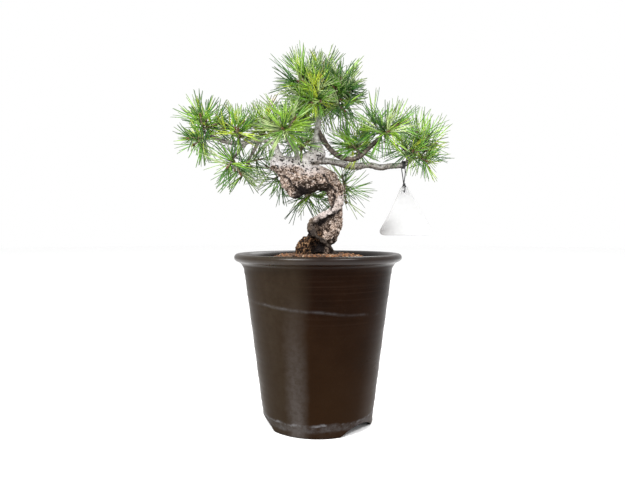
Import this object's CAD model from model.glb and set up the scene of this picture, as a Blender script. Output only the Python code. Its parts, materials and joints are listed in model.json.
"""The finished look of a potted white pine bonsai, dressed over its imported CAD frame."""

import json
import math
import random

import bmesh
import bpy
import numpy as np
from bpy.props import FloatProperty, FloatVectorProperty, IntProperty, PointerProperty
from mathutils import Matrix, Vector, noise
from mathutils.bvhtree import BVHTree
from mathutils.geometry import intersect_point_line

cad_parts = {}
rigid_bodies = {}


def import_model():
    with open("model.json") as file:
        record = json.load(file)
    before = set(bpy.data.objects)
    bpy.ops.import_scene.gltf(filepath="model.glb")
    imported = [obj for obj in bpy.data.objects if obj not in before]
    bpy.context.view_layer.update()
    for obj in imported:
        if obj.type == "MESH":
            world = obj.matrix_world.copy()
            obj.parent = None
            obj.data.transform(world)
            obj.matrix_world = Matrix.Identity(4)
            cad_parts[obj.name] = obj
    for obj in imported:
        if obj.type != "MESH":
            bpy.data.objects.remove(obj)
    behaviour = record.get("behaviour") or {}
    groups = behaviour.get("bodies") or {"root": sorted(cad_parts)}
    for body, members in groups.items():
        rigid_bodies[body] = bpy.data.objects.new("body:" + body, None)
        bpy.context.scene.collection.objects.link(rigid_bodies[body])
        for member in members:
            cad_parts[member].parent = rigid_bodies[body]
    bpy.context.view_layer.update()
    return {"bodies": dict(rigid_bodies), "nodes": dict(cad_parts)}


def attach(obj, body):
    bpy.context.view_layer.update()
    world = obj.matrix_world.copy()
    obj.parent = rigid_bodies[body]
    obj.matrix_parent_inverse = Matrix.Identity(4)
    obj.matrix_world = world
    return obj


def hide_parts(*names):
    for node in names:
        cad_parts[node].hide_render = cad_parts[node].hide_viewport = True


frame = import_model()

bl_info = {
    "name": "Potted White Pine",
    "version": (1, 0, 0),
    "blender": (4, 5, 0),
    "location": "3D Viewport > Sidebar > Pine",
    "description": "Dresses the frame of a potted white pine bonsai with bark, needles, soil and glaze",
    "category": "Object",
}

BODY = "root"
GOLDEN_ANGLE = math.pi * (3.0 - math.sqrt(5.0))

# The limbs that the frame holds, and the masses of foliage by the source's rule: limb, leading bud,
# side shoots, radius of its space, seed. STEM_STARTS has those that leave the limb before its tip.
BOUGHS = (
    "bough_left",
    "bough_left_low",
    "bough_left_inner",
    "bough_front",
    "bough_right_long",
    "bough_right_short",
    "bough_top_right",
    "bough_back",
    "bough_back_low",
    "bough_back_right",
)
LIMB_TIPS = {  # tip, way it points, radius
    "trunk": ((0.0010, 0.0010, 0.3100), (0.0015, -0.0010, 0.0090), 0.0022),
    "bough_left": ((-0.1060, -0.0136, 0.2730), (-0.0041, -0.0006, 0.0023), 0.0016),
    "bough_left_low": ((-0.0773, -0.0120, 0.2524), (-0.0046, -0.0010, -0.0068), 0.0014),
    "bough_left_inner": ((-0.0672, 0.0040, 0.2512), (-0.0032, 0.0030, -0.0041), 0.0013),
    "bough_front": ((-0.0288, -0.0190, 0.2680), (-0.0036, -0.0050, 0.0065), 0.0018),
    "bough_right_long": ((0.0978, 0.0170, 0.2603), (0.0020, 0.0002, 0.0043), 0.0019),
    "bough_right_short": ((0.0562, -0.0155, 0.2672), (0.0042, -0.0005, 0.0046), 0.0018),
    "bough_top_right": ((0.0176, 0.0000, 0.3080), (0.0046, 0.0000, 0.0035), 0.0015),
    "bough_back": ((-0.0140, 0.0245, 0.2825), (-0.0042, 0.0065, 0.0010), 0.0016),
    "bough_back_low": ((-0.0106, 0.0268, 0.2205), (0.0000, 0.0048, -0.0027), 0.0017),
    "bough_back_right": ((0.0245, 0.0215, 0.2250), (0.0030, 0.0025, -0.0005), 0.0016),
}
MASSES = {
    "foliage_top": ("trunk", (0.0020, 0.0120, 0.3320), 3, 0.0340, 5),
    "foliage_top_left": ("trunk", (-0.0140, -0.0070, 0.3290), 3, 0.0355, 3),
    "foliage_top_side": ("trunk", (-0.0170, -0.0120, 0.3060), 2, 0.0250, 26),
    "foliage_top_right": ("bough_top_right", (0.0215, -0.0095, 0.3240), 3, 0.0300, 2),
    "foliage_top_low": ("bough_top_right", (0.0210, -0.0095, 0.3050), 2, 0.0270, 4),
    "foliage_top_back": ("trunk", (0.0080, 0.0360, 0.3140), 2, 0.0370, 8),
    "foliage_top_front": ("trunk", (-0.0040, -0.0240, 0.3130), 2, 0.0300, 6),
    "foliage_left_tip": ("bough_left", (-0.1050, -0.0145, 0.2840), 2, 0.0310, 11),
    "foliage_left_under": ("bough_left", (-0.1130, -0.0100, 0.2680), 2, 0.0240, 7),
    "foliage_left_upright": ("bough_left", (-0.0745, -0.0145, 0.2750), 2, 0.0310, 9),
    "foliage_left_mid": ("bough_left", (-0.0550, 0.0110, 0.2840), 2, 0.0350, 10),
    "foliage_front": ("bough_front", (-0.0326, -0.0250, 0.2750), 2, 0.0355, 12),
    "foliage_left_low": ("bough_left_low", (-0.0830, -0.0130, 0.2445), 1, 0.0330, 13),
    "foliage_left_inner": ("bough_left_inner", (-0.0665, 0.0105, 0.2450), 1, 0.0310, 14),
    "foliage_inner": ("trunk", (-0.0164, -0.0005, 0.2670), 1, 0.0265, 22),
    "foliage_back_left": ("trunk", (-0.0450, 0.0280, 0.2340), 2, 0.0340, 15),
    "foliage_back_low": ("bough_back_low", (-0.0098, 0.0345, 0.2155), 2, 0.0335, 16),
    "foliage_back_right": ("bough_back_right", (0.0240, 0.0300, 0.2225), 2, 0.0340, 17),
    "foliage_back": ("bough_back", (-0.0190, 0.0350, 0.2880), 2, 0.0370, 18),
    "foliage_right_inner": ("bough_right_short", (0.0370, 0.0000, 0.2665), 2, 0.0275, 19),
    "foliage_right_mid": ("bough_right_short", (0.0605, -0.0190, 0.2755), 2, 0.0360, 20),
    "foliage_right_gap": ("bough_right_long", (0.0855, 0.0040, 0.2615), 2, 0.0255, 25),
    "foliage_right_tip": ("bough_right_long", (0.1030, 0.0170, 0.2715), 3, 0.0330, 21),
    "foliage_right_under": ("bough_right_long", (0.1110, 0.0120, 0.2555), 2, 0.0240, 24),
}
STEM_STARTS = {
    "foliage_top_left": (-0.0004, 0.0020, 0.3050),
    "foliage_top_side": (0.0000, 0.0020, 0.2975),
    "foliage_top_low": (0.0130, 0.0000, 0.3045),
    "foliage_top_back": (0.0000, 0.0020, 0.2960),
    "foliage_top_front": (0.0002, 0.0020, 0.2990),
    "foliage_left_under": (-0.1010, -0.0129, 0.2704),
    "foliage_left_upright": (-0.0745, -0.0096, 0.2644),
    "foliage_left_mid": (-0.0560, -0.0080, 0.2666),
    "foliage_inner": (-0.0164, 0.0000, 0.2535),
    "foliage_back_left": (-0.0290, 0.0050, 0.2400),
    "foliage_right_inner": (0.0388, -0.0138, 0.2504),
    "foliage_right_gap": (0.0890, 0.0152, 0.2488),
    "foliage_right_under": (0.0930, 0.0163, 0.2524),
}
# How each mass is dressed: share of the usual bundles, share of the usual length, kind of tones.
HABITS = {
    "foliage_top": (1.0, 1.0, "mixed"),
    "foliage_top_left": (1.05, 1.0, "leafy"),
    "foliage_top_side": (0.9, 0.74, "mixed"),
    "foliage_top_right": (1.0, 0.80, "deep"),
    "foliage_top_low": (0.95, 0.76, "deep"),
    "foliage_top_back": (0.8, 0.92, "mixed"),
    "foliage_top_front": (0.9, 0.80, "yellow"),
    "foliage_left_tip": (0.76, 0.80, "fresh"),
    "foliage_left_under": (0.60, 0.74, "fresh"),
    "foliage_left_upright": (0.72, 0.82, "fresh"),
    "foliage_left_mid": (0.8, 0.82, "yellow"),
    "foliage_front": (0.90, 0.88, "silvery"),
    "foliage_left_low": (0.5, 0.84, "leafy"),
    "foliage_left_inner": (0.50, 0.82, "deep"),
    "foliage_inner": (0.6, 0.62, "fresh"),
    "foliage_back_left": (0.50, 0.86, "deep"),
    "foliage_back_low": (0.48, 0.90, "deep"),
    "foliage_back_right": (0.42, 1.04, "deep"),
    "foliage_back": (0.8, 0.92, "deep"),
    "foliage_right_inner": (1.25, 0.80, "olive"),
    "foliage_right_mid": (0.88, 0.92, "deep"),
    "foliage_right_gap": (0.48, 0.78, "olive"),
    "foliage_right_tip": (0.64, 1.0, "sunny"),
    "foliage_right_under": (0.50, 0.76, "olive"),
}
# Plain colours of the needles, and their shares in each kind of tones.
NEEDLE_TONES = {
    "needles_fresh": (0.270, 0.470, 0.044),
    "needles_leaf": (0.145, 0.335, 0.034),
    "needles_deep": (0.040, 0.128, 0.022),
    "needles_pale": (0.440, 0.550, 0.240),
    "needles_lime": (0.440, 0.550, 0.048),
    "needles_dry": (0.420, 0.300, 0.065),
}
TONE_SHARES = {
    "fresh": (0.23, 0.31, 0.25, 0.07, 0.12, 0.02),
    "leafy": (0.30, 0.33, 0.20, 0.12, 0.05, 0.0),
    "mixed": (0.24, 0.30, 0.20, 0.21, 0.045, 0.005),
    "yellow": (0.29, 0.17, 0.12, 0.08, 0.28, 0.06),
    "deep": (0.13, 0.30, 0.41, 0.15, 0.01, 0.0),
    "olive": (0.20, 0.35, 0.36, 0.03, 0.06, 0.0),
    "silvery": (0.26, 0.25, 0.12, 0.31, 0.06, 0.0),
    "sunny": (0.30, 0.32, 0.25, 0.02, 0.11, 0.0),
}


class PineBarkSettings(bpy.types.PropertyGroup):
    voxel: FloatProperty(
        name="Bark Detail",
        description="Size of the bark mesh's finest shapes",
        default=0.00042,
        subtype="DISTANCE",
        unit="LENGTH",
    )
    relief: FloatProperty(
        name="Bark Relief",
        description="Height of the bark's lumps and flakes",
        default=0.0010,
        subtype="DISTANCE",
        unit="LENGTH",
    )
    light: FloatVectorProperty(
        name="Pale Bark",
        description="Colour of the weathered bark on top of the burl",
        default=(0.56, 0.52, 0.52),
        subtype="COLOR",
        size=3,
    )
    dark: FloatVectorProperty(
        name="Dark Bark",
        description="Colour in the bark's pits and cracks",
        default=(0.014, 0.011, 0.011),
        subtype="COLOR",
        size=3,
    )
    rust: FloatVectorProperty(
        name="Rusty Bark",
        description="Colour of the flaking bark near the soil",
        default=(0.135, 0.072, 0.036),
        subtype="COLOR",
        size=3,
    )


class PineNeedleSettings(bpy.types.PropertyGroup):
    length: FloatProperty(
        name="Needle Length",
        description="Usual length of a needle",
        default=0.033,
        subtype="DISTANCE",
        unit="LENGTH",
    )
    width: FloatProperty(
        name="Needle Width",
        description="Width of a needle at its middle",
        default=0.00101,
        subtype="DISTANCE",
        unit="LENGTH",
    )
    bundles: IntProperty(
        name="Bundles on a Shoot",
        description="Bundles of five needles round each shoot",
        default=10,
        min=5,
    )
    extra_shoots: IntProperty(
        name="Finer Shoots",
        description="Shoots added to those of the frame in each mass",
        default=2,
        min=0,
    )


class PinePotSettings(bpy.types.PropertyGroup):
    segments: IntProperty(
        name="Segments",
        description="Steps round the turned pot",
        default=192,
        min=48,
    )
    glaze: FloatVectorProperty(
        name="Glaze",
        description="Colour of the dark brown glaze",
        default=(0.0072, 0.0024, 0.0007),
        subtype="COLOR",
        size=3,
    )
    haze: FloatVectorProperty(
        name="Glaze Haze",
        description="Colour of the glaze where a thin grey haze lies on it",
        default=(0.0225, 0.0155, 0.0092),
        subtype="COLOR",
        size=3,
    )
    stain: FloatVectorProperty(
        name="Mineral Stain",
        description="Colour of the pale crust left by water",
        default=(0.30, 0.31, 0.33),
        subtype="COLOR",
        size=3,
    )


class PineSoilSettings(bpy.types.PropertyGroup):
    granules: IntProperty(
        name="Granules",
        description="Loose granules on the soil",
        default=2200,
        min=0,
    )


# Helpers


def finish_piece(obj, slot, *nodes):
    """Makes an object a piece that rides on the part's body and stands for CAD nodes."""
    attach(obj, BODY)
    if nodes:
        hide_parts(*nodes)
    return obj


def link(obj):
    bpy.context.scene.collection.objects.link(obj)
    return obj


def mesh_object(name, mesh, material):
    mesh.materials.clear()
    mesh.materials.append(material)
    return link(bpy.data.objects.new(name, mesh))


def evaluated_copy(obj):
    bpy.context.view_layer.update()
    graph = bpy.context.evaluated_depsgraph_get()
    return bpy.data.meshes.new_from_object(obj.evaluated_get(graph), depsgraph=graph)


def joined_mesh(name, chunks):
    """One mesh from many (vertices, faces) chunks of arrays, where faces have equal lengths."""
    places = []
    corners = []
    starts = []
    base = 0
    corner_base = 0
    for verts, faces in chunks:
        places.append(np.asarray(verts, np.float32))
        for face in faces:
            corners.extend(index + base for index in face)
            starts.append(corner_base)
            corner_base += len(face)
        base += len(verts)
    mesh = bpy.data.meshes.new(name)
    all_places = np.concatenate(places)
    mesh.vertices.add(len(all_places))
    mesh.vertices.foreach_set("co", all_places.ravel())
    mesh.loops.add(len(corners))
    mesh.loops.foreach_set("vertex_index", corners)
    mesh.polygons.add(len(starts))
    mesh.polygons.foreach_set("loop_start", starts)
    mesh.update(calc_edges=True)
    mesh.validate()
    return mesh


def across(axis):
    side = axis.orthogonal().normalized()
    return side, axis.cross(side)


def bend_up(direction, amount):
    return (direction + Vector((0.0, 0.0, amount))).normalized()


class NodeTree:
    """Short hands for building one material's nodes."""

    def __init__(self, name):
        self.material = bpy.data.materials.new(name)
        self.material.use_nodes = True
        self.nodes = self.material.node_tree.nodes
        self.links = self.material.node_tree.links
        self.shader = self.nodes["Principled BSDF"]
        coordinates = self.nodes.new("ShaderNodeTexCoord")
        self.place = coordinates.outputs["Object"]

    def put(self, socket, value):
        if isinstance(value, bpy.types.NodeSocket):
            self.links.new(value, socket)
        elif isinstance(value, (tuple, list)) and len(value) == 3 and len(socket.default_value) == 4:
            socket.default_value = (*value, 1.0)
        else:
            socket.default_value = value

    def set(self, name, value):
        self.put(self.shader.inputs[name], value)

    def scaled(self, scale):
        node = self.nodes.new("ShaderNodeMapping")
        self.links.new(self.place, node.inputs["Vector"])
        node.inputs["Scale"].default_value = scale
        return node.outputs["Vector"]

    def noise(self, scale, detail=4.0, roughness=0.55, vector=None, distortion=0.0):
        node = self.nodes.new("ShaderNodeTexNoise")
        self.links.new(vector or self.place, node.inputs["Vector"])
        node.inputs["Scale"].default_value = scale
        node.inputs["Detail"].default_value = detail
        node.inputs["Roughness"].default_value = roughness
        node.inputs["Distortion"].default_value = distortion
        return node.outputs["Fac"]

    def cells(self, scale, vector=None, feature="F1", output="Distance"):
        node = self.nodes.new("ShaderNodeTexVoronoi")
        node.feature = feature
        self.links.new(vector or self.place, node.inputs["Vector"])
        node.inputs["Scale"].default_value = scale
        return node.outputs[output]

    def ramp(self, value, *stops):
        node = self.nodes.new("ShaderNodeValToRGB")
        while len(node.color_ramp.elements) < len(stops):
            node.color_ramp.elements.new(0.5)
        for element, (position, colour) in zip(node.color_ramp.elements, stops):
            element.position = position
            if isinstance(colour, (int, float)):
                colour = (colour,) * 3
            element.color = (*colour, 1.0)
        self.links.new(value, node.inputs["Fac"])
        return node.outputs["Color"]

    def math(self, operation, a, b=0.0, c=0.0, clamp=False):
        node = self.nodes.new("ShaderNodeMath")
        node.operation = operation
        node.use_clamp = clamp
        for socket, value in zip(node.inputs, (a, b, c)):
            self.put(socket, value)
        return node.outputs[0]

    def mix(self, factor, a, b, blend="MIX"):
        node = self.nodes.new("ShaderNodeMix")
        node.data_type = "RGBA"
        node.blend_type = blend
        self.put(node.inputs["Factor"], factor)
        self.put(node.inputs[6], a)
        self.put(node.inputs[7], b)
        return node.outputs[2]

    def axis(self, name):
        node = self.nodes.new("ShaderNodeSeparateXYZ")
        self.links.new(self.place, node.inputs[0])
        return node.outputs[name]

    def attribute(self, name):
        node = self.nodes.new("ShaderNodeAttribute")
        node.attribute_name = name
        return node.outputs["Fac"]

    def bump(self, height, strength, distance):
        node = self.nodes.new("ShaderNodeBump")
        node.inputs["Strength"].default_value = strength
        node.inputs["Distance"].default_value = distance
        self.links.new(height, node.inputs["Height"])
        self.links.new(node.outputs["Normal"], self.shader.inputs["Normal"])


# Materials


def bark_material(settings):
    """Bark with pale flakes on dark cracks, darker below and near the soil, smooth on boughs."""
    tree = NodeTree("pine_bark")
    dark = tuple(settings.dark)
    relief = tree.attribute("relief")
    pits = tree.attribute("pits")
    rough = tree.attribute("rough")
    shade = tree.attribute("shade")
    earth = tree.attribute("earth")
    slant = tree.attribute("slant")
    broad = tree.noise(110.0, 5.0, 0.6)
    fine = tree.noise(1000.0, 3.0, 0.6)
    mottled = tree.math("MULTIPLY_ADD", tree.noise(420.0, 4.0, 0.65), 0.5, tree.math("MULTIPLY", relief, 0.5))
    face = tree.ramp(
        mottled,
        (0.32, (0.020, 0.013, 0.009)),
        (0.39, (0.120, 0.078, 0.053)),
        (0.47, (0.310, 0.230, 0.182)),
        (0.60, (0.500, 0.402, 0.345)),
        (0.74, (0.700, 0.620, 0.565)),
    )
    pale = tree.ramp(
        broad, (0.34, (0.45, 0.415, 0.405)), (0.47, tuple(settings.light)), (0.64, (0.67, 0.655, 0.665))
    )
    low = tree.ramp(
        mottled,
        (0.36, (0.003, 0.002, 0.001)),
        (0.46, (0.026, 0.012, 0.006)),
        (0.55, tuple(settings.rust)),
        (0.72, (0.330, 0.200, 0.110)),
    )
    trunk = tree.mix(tree.math("MULTIPLY", tree.attribute("top"), 0.9), face, pale)
    specks = tree.ramp(tree.noise(800.0, 2.0, 0.6), (0.33, 0.85), (0.41, 0.0))
    trunk = tree.mix(specks, trunk, (0.045, 0.030, 0.022))
    trunk = tree.mix(earth, trunk, low)
    lit = tree.math("MULTIPLY_ADD", tree.math("SUBTRACT", mottled, 0.5), 0.35, slant)
    below = tree.ramp(lit, (0.14, 0.97), (0.27, 0.70), (0.39, 0.0))
    trunk = tree.mix(below, trunk, (0.010, 0.006, 0.003))
    grain = tree.noise(320.0, 4.0, 0.65)
    grey = tree.ramp(
        grain, (0.34, (0.140, 0.125, 0.105)), (0.47, (0.330, 0.315, 0.285)), (0.62, (0.540, 0.530, 0.495))
    )
    brown = tree.ramp(
        grain, (0.36, (0.010, 0.007, 0.005)), (0.52, (0.056, 0.040, 0.028)), (0.68, (0.200, 0.165, 0.125))
    )
    bough = tree.mix(shade, grey, brown)
    bough = tree.mix(tree.ramp(slant, (0.12, 0.80), (0.55, 0.0)), bough, (0.040, 0.028, 0.020))
    colour = tree.mix(rough, bough, tree.mix(tree.math("MULTIPLY", shade, 0.8), trunk, brown))
    colour = tree.mix(tree.math("MULTIPLY", pits, 0.96), colour, dark)
    tree.set("Base Color", colour)
    tree.set("Roughness", tree.ramp(fine, (0.3, 0.72), (0.7, 0.95)))
    tree.set("Specular IOR Level", 0.10)
    tree.bump(tree.math("ADD", fine, tree.math("MULTIPLY", mottled, 1.5)), 0.6, 0.0005)
    return tree.material


def needle_material(name, colour):
    """A needle's plain colour, darker or lighter from one to the next, brown at its root."""
    tree = NodeTree(name)
    chance = tree.attribute("chance")
    along = tree.attribute("along")
    deep = tuple(0.40 * channel for channel in colour)
    light = tuple(more + 1.25 * channel for more, channel in zip((0.055, 0.060, 0.030), colour))
    body = tree.ramp(chance, (0.0, deep), (0.45, tuple(colour)), (0.80, tuple(colour)), (1.0, light))
    body = tree.mix(tree.ramp(along, (0.0, 0.95), (0.18, 0.30), (0.42, 0.0)), body, (0.050, 0.040, 0.013))
    body = tree.mix(tree.ramp(along, (0.70, 0.0), (0.93, 0.75)), body, (0.085, 0.110, 0.065))
    tree.set("Base Color", body)
    tree.set("Roughness", tree.ramp(tree.noise(900.0, 2.0), (0.3, 0.30), (0.7, 0.44)))
    tree.set("Specular IOR Level", 0.30)
    return tree.material


def glaze_material(settings):
    """Dark brown glaze, hazed on one side, with a thin tide line and a crusted foot."""
    tree = NodeTree("dark_glaze")
    height = tree.axis("Z")
    sideways = tree.axis("X")
    cloud = tree.noise(22.0, 5.0, 0.6)
    grain = tree.noise(420.0, 4.0, 0.65)
    rings = tree.noise(1.0, 3.0, 0.6, tree.scaled((6.0, 6.0, 900.0)))
    body = tree.ramp(
        cloud,
        (0.32, (0.0045, 0.0014, 0.0004)),
        (0.52, tuple(settings.glaze)),
        (0.74, (0.0110, 0.0046, 0.0018)),
    )
    lower = tree.ramp(height, (0.010, 0.75), (0.130, 0.0))
    body = tree.mix(lower, body, (0.0160, 0.0074, 0.0026))
    angle = tree.math("ARCTAN2", sideways, tree.math("MULTIPLY", tree.axis("Y"), -1.0))
    round_pot = tree.math("MULTIPLY_ADD", angle, 0.5 / math.pi, 0.5)
    round_pot = tree.math("MULTIPLY_ADD", cloud, 0.022, round_pot)
    round_pot = tree.math("MULTIPLY_ADD", tree.noise(75.0, 4.0, 0.7), 0.016, round_pot)
    round_pot = tree.math("MULTIPLY_ADD", height, -0.08, tree.math("SUBTRACT", round_pot, 0.002))
    hazed = tree.ramp(round_pot, (0.10, 0.0), (0.27, 1.0), (0.462, 1.0), (0.496, 0.0))
    streaks = tree.ramp(tree.noise(18.0, 4.0, 0.6, tree.scaled((1.0, 1.0, 0.2))), (0.30, 0.60), (0.62, 1.0))
    streaks = tree.math("MULTIPLY", streaks, tree.ramp(tree.noise(150.0, 4.0, 0.7), (0.34, 0.72), (0.60, 1.0)))
    body = tree.mix(tree.math("MULTIPLY", hazed, streaks), body, tuple(settings.haze))
    sheen = tree.ramp(round_pot, (0.428, 0.0), (0.450, 0.9), (0.466, 0.9), (0.492, 0.0))
    sheen = tree.math("MULTIPLY", sheen, tree.ramp(tree.noise(260.0, 4.0, 0.7), (0.36, 0.55), (0.60, 1.0)))
    body = tree.mix(tree.math("MULTIPLY", sheen, lower), body, (0.0640, 0.0560, 0.0530))
    sides = tree.ramp(round_pot, (0.25, 0.8), (0.37, 0.0), (0.63, 0.0), (0.72, 0.8))
    body = tree.mix(tree.math("MULTIPLY", sides, lower), body, (0.0480, 0.0370, 0.0310))
    body = tree.mix(tree.ramp(grain, (0.60, 0.0), (0.75, 0.25)), body, (0.022, 0.015, 0.010))
    ring_mix = tree.ramp(rings, (0.52, 0.0), (0.66, 0.40))
    upper = tree.ramp(height, (0.085, 0.0), (0.12, 1.0))
    body = tree.mix(tree.math("MULTIPLY", ring_mix, upper), body, (0.0200, 0.0110, 0.0070))
    # A colour ramp is read in steps of 1/256, so small distances are scaled up before it.
    wander = tree.math("MULTIPLY", tree.noise(30.0, 2.0, 0.5), 0.0050)
    tide = tree.math("MULTIPLY_ADD", sideways, -0.090, wander)
    away = tree.math("ABSOLUTE", tree.math("SUBTRACT", tree.math("SUBTRACT", height, 0.1095), tide))
    away = tree.math("MULTIPLY", tree.math("MULTIPLY_ADD", grain, 0.0007, away), 250.0)
    line = tree.ramp(away, (0.03, 0.60), (0.14, 0.22), (0.60, 0.0))
    in_front = tree.ramp(tree.math("MULTIPLY", tree.axis("Y"), -10.0), (0.0, 0.35), (0.3, 1.0))
    broken = tree.ramp(tree.noise(60.0, 4.0, 0.7), (0.41, 0.03), (0.62, 0.36))
    in_front = tree.math("MULTIPLY", in_front, tree.ramp(round_pot, (0.44, 1.0), (0.60, 0.45)))
    line = tree.math("MULTIPLY", tree.math("MULTIPLY", line, broken), in_front)
    ragged = tree.math("MULTIPLY_ADD", tree.noise(55.0, 5.0, 0.7), -0.009, height)
    off_edge = tree.math("ABSOLUTE", tree.math("SUBTRACT", ragged, 0.0070))
    edge = tree.ramp(tree.math("MULTIPLY", off_edge, 250.0), (0.05, 0.28), (0.40, 0.0))
    edge = tree.math("MULTIPLY", edge, tree.ramp(tree.noise(90.0, 3.0, 0.6), (0.42, 0.05), (0.62, 1.0)))
    crust = tree.ramp(tree.math("MULTIPLY", ragged, 50.0), (0.0, 0.02), (0.10, 0.15), (0.30, 0.12), (0.45, 0.0))
    crust = tree.math("MULTIPLY", crust, tree.ramp(tree.noise(240.0, 4.0, 0.7), (0.36, 0.2), (0.64, 1.0)))
    crust = tree.math("MULTIPLY", crust, tree.ramp(tree.noise(42.0, 3.0, 0.6), (0.38, 0.3), (0.60, 1.0)))
    stains = tree.math("MAXIMUM", line, tree.math("MAXIMUM", edge, crust))
    body = tree.mix(stains, body, tuple(settings.stain))
    from_axis = tree.math("SQRT", tree.math("ADD", tree.math("POWER", sideways, 2.0), tree.math("POWER", tree.axis("Y"), 2.0)))
    inside_foot = tree.math("MULTIPLY", tree.math("SUBTRACT", 0.0512, from_axis), 800.0, clamp=True)
    inside_foot = tree.math("MULTIPLY", inside_foot, tree.ramp(tree.math("MULTIPLY", height, 50.0), (0.45, 1.0), (0.55, 0.0)))
    tree.set("Base Color", tree.mix(inside_foot, body, (0.0010, 0.0008, 0.0006)))
    rough = tree.ramp(cloud, (0.3, 0.26), (0.7, 0.38))
    tree.set("Roughness", tree.mix(stains, rough, (0.85, 0.85, 0.85)))
    on_rim = tree.math("MULTIPLY", tree.math("SUBTRACT", height, 0.1490), 200.0, clamp=True)
    tree.set("Specular IOR Level", tree.math("MULTIPLY_ADD", on_rim, 0.20, 0.02))
    tree.bump(tree.math("ADD", tree.math("MULTIPLY", rings, 0.5), tree.math("MULTIPLY", grain, 0.35)), 0.25, 0.0004)
    return tree.material


def soil_material(name, tones):
    tree = NodeTree(name)
    cells = tree.cells(330.0, output="Color")
    split = tree.nodes.new("ShaderNodeSeparateColor")
    tree.links.new(cells, split.inputs[0])
    count = len(tones)
    stops = [((i + 0.5) / count, tone) for i, tone in enumerate(tones)]
    colour = tree.ramp(split.outputs[0], *stops)
    dust = tree.noise(1500.0, 3.0, 0.6)
    colour = tree.mix(tree.ramp(dust, (0.4, 0.0), (0.7, 0.35)), colour, (0.32, 0.19, 0.11))
    tree.set("Base Color", colour)
    tree.set("Roughness", tree.ramp(dust, (0.3, 0.85), (0.7, 1.0)))
    tree.bump(dust, 0.5, 0.0004)
    return tree.material


# The limbs


def merged_copy(node):
    """The node's mesh with its loose triangles welded, as a new mesh."""
    mesh = frame["nodes"][node].data.copy()
    bm = bmesh.new()
    bm.from_mesh(mesh)
    bmesh.ops.remove_doubles(bm, verts=bm.verts, dist=0.000002)
    bm.to_mesh(mesh)
    bm.free()
    return mesh


def surface_tree(names):
    """A search tree over the surfaces of the named nodes."""
    bm = bmesh.new()
    for name in names:
        mesh = merged_copy(name)
        bm.from_mesh(mesh)
        bpy.data.meshes.remove(mesh)
    bmesh.ops.triangulate(bm, faces=bm.faces)
    tree = BVHTree.FromBMesh(bm)
    bm.free()
    return tree


def add_tube(bm, route, sides):
    """Adds a capped tube through points of (place, radius) to the bmesh."""
    rings = []
    side = None
    for i, (place, radius) in enumerate(route):
        before = route[max(0, i - 1)][0]
        after = route[min(len(route) - 1, i + 1)][0]
        way = (after - before).normalized()
        side = across(way)[0] if side is None else (side - way * side.dot(way)).normalized()
        other = way.cross(side)
        rings.append(
            [
                bm.verts.new(place + radius * (math.cos(a) * side + math.sin(a) * other))
                for a in (math.tau * k / sides for k in range(sides))
            ]
        )
    for low, high in zip(rings, rings[1:]):
        for k in range(sides):
            bm.faces.new((low[k], low[(k + 1) % sides], high[(k + 1) % sides], high[k]))
    bm.faces.new(reversed(rings[0]))
    bm.faces.new(rings[-1])


# Share of rough bark and of dark bark on each limb. A bough's second share grows to its tip.
LIMB_LOOKS = {
    "trunk": (1.0, 0.0, 0.0),
    "bough_left": (0.25, 0.05, 0.75),
    "bough_left_low": (0.10, 0.25, 0.60),
    "bough_left_inner": (0.10, 0.35, 0.60),
    "bough_front": (0.15, 0.25, 0.60),
    "bough_right_long": (0.30, 0.0, 0.30),
    "bough_right_short": (0.30, 1.0, 1.0),
    "bough_top_right": (0.10, 0.45, 0.70),
    "bough_back": (0.15, 0.45, 0.70),
    "bough_back_low": (0.15, 0.45, 0.70),
    "bough_back_right": (0.15, 0.45, 0.70),
    "stems": (0.0, 0.85, 0.85),
}
LOOKS = list(LIMB_LOOKS)
# Two strands of the trunk that look unlike the rest, as (x, y, z, radius), and a dark hollow.
DARK_ROOT = (
    (-0.0045, -0.0080, 0.1800, 0.0025),
    (0.0008, -0.0105, 0.1746, 0.0026),
    (0.0076, -0.0110, 0.1690, 0.0027),
    (0.0132, -0.0092, 0.1632, 0.0032),
    (0.0178, -0.0070, 0.1513, 0.0042),
)
PALE_STRAND = (
    (-0.0080, -0.0070, 0.1837, 0.0036),
    (-0.0047, -0.0085, 0.1903, 0.0039),
    (0.0028, -0.0095, 0.1945, 0.0041),
    (0.0114, -0.0085, 0.1984, 0.0041),
    (0.0191, -0.0055, 0.2037, 0.0041),
    (0.0219, -0.0030, 0.2115, 0.0038),
    (0.0214, -0.0010, 0.2193, 0.0039),
)
HOLLOW = Vector((0.0012, -0.0100, 0.1650))
HOLLOW_SIZE = Vector((0.0085, 0.0085, 0.0105))
BURL_SHADOW = Vector((-0.0152, -0.0100, 0.2150))
BURL_SHADOW_SIZE = Vector((0.0090, 0.0150, 0.0090))
# Dark grooves seen on the front of the bend, as (x, 0, z).
GROOVES = (
    ((0.0067, 0.0, 0.2333), (0.0120, 0.0, 0.2228), (0.0172, 0.0, 0.2190)),
    ((0.0153, 0.0, 0.2142), (0.0143, 0.0, 0.2075), (0.0118, 0.0, 0.2015)),
    ((-0.0330, 0.0, 0.2330), (-0.0275, 0.0, 0.2300), (-0.0255, 0.0, 0.2245)),
)


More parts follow.
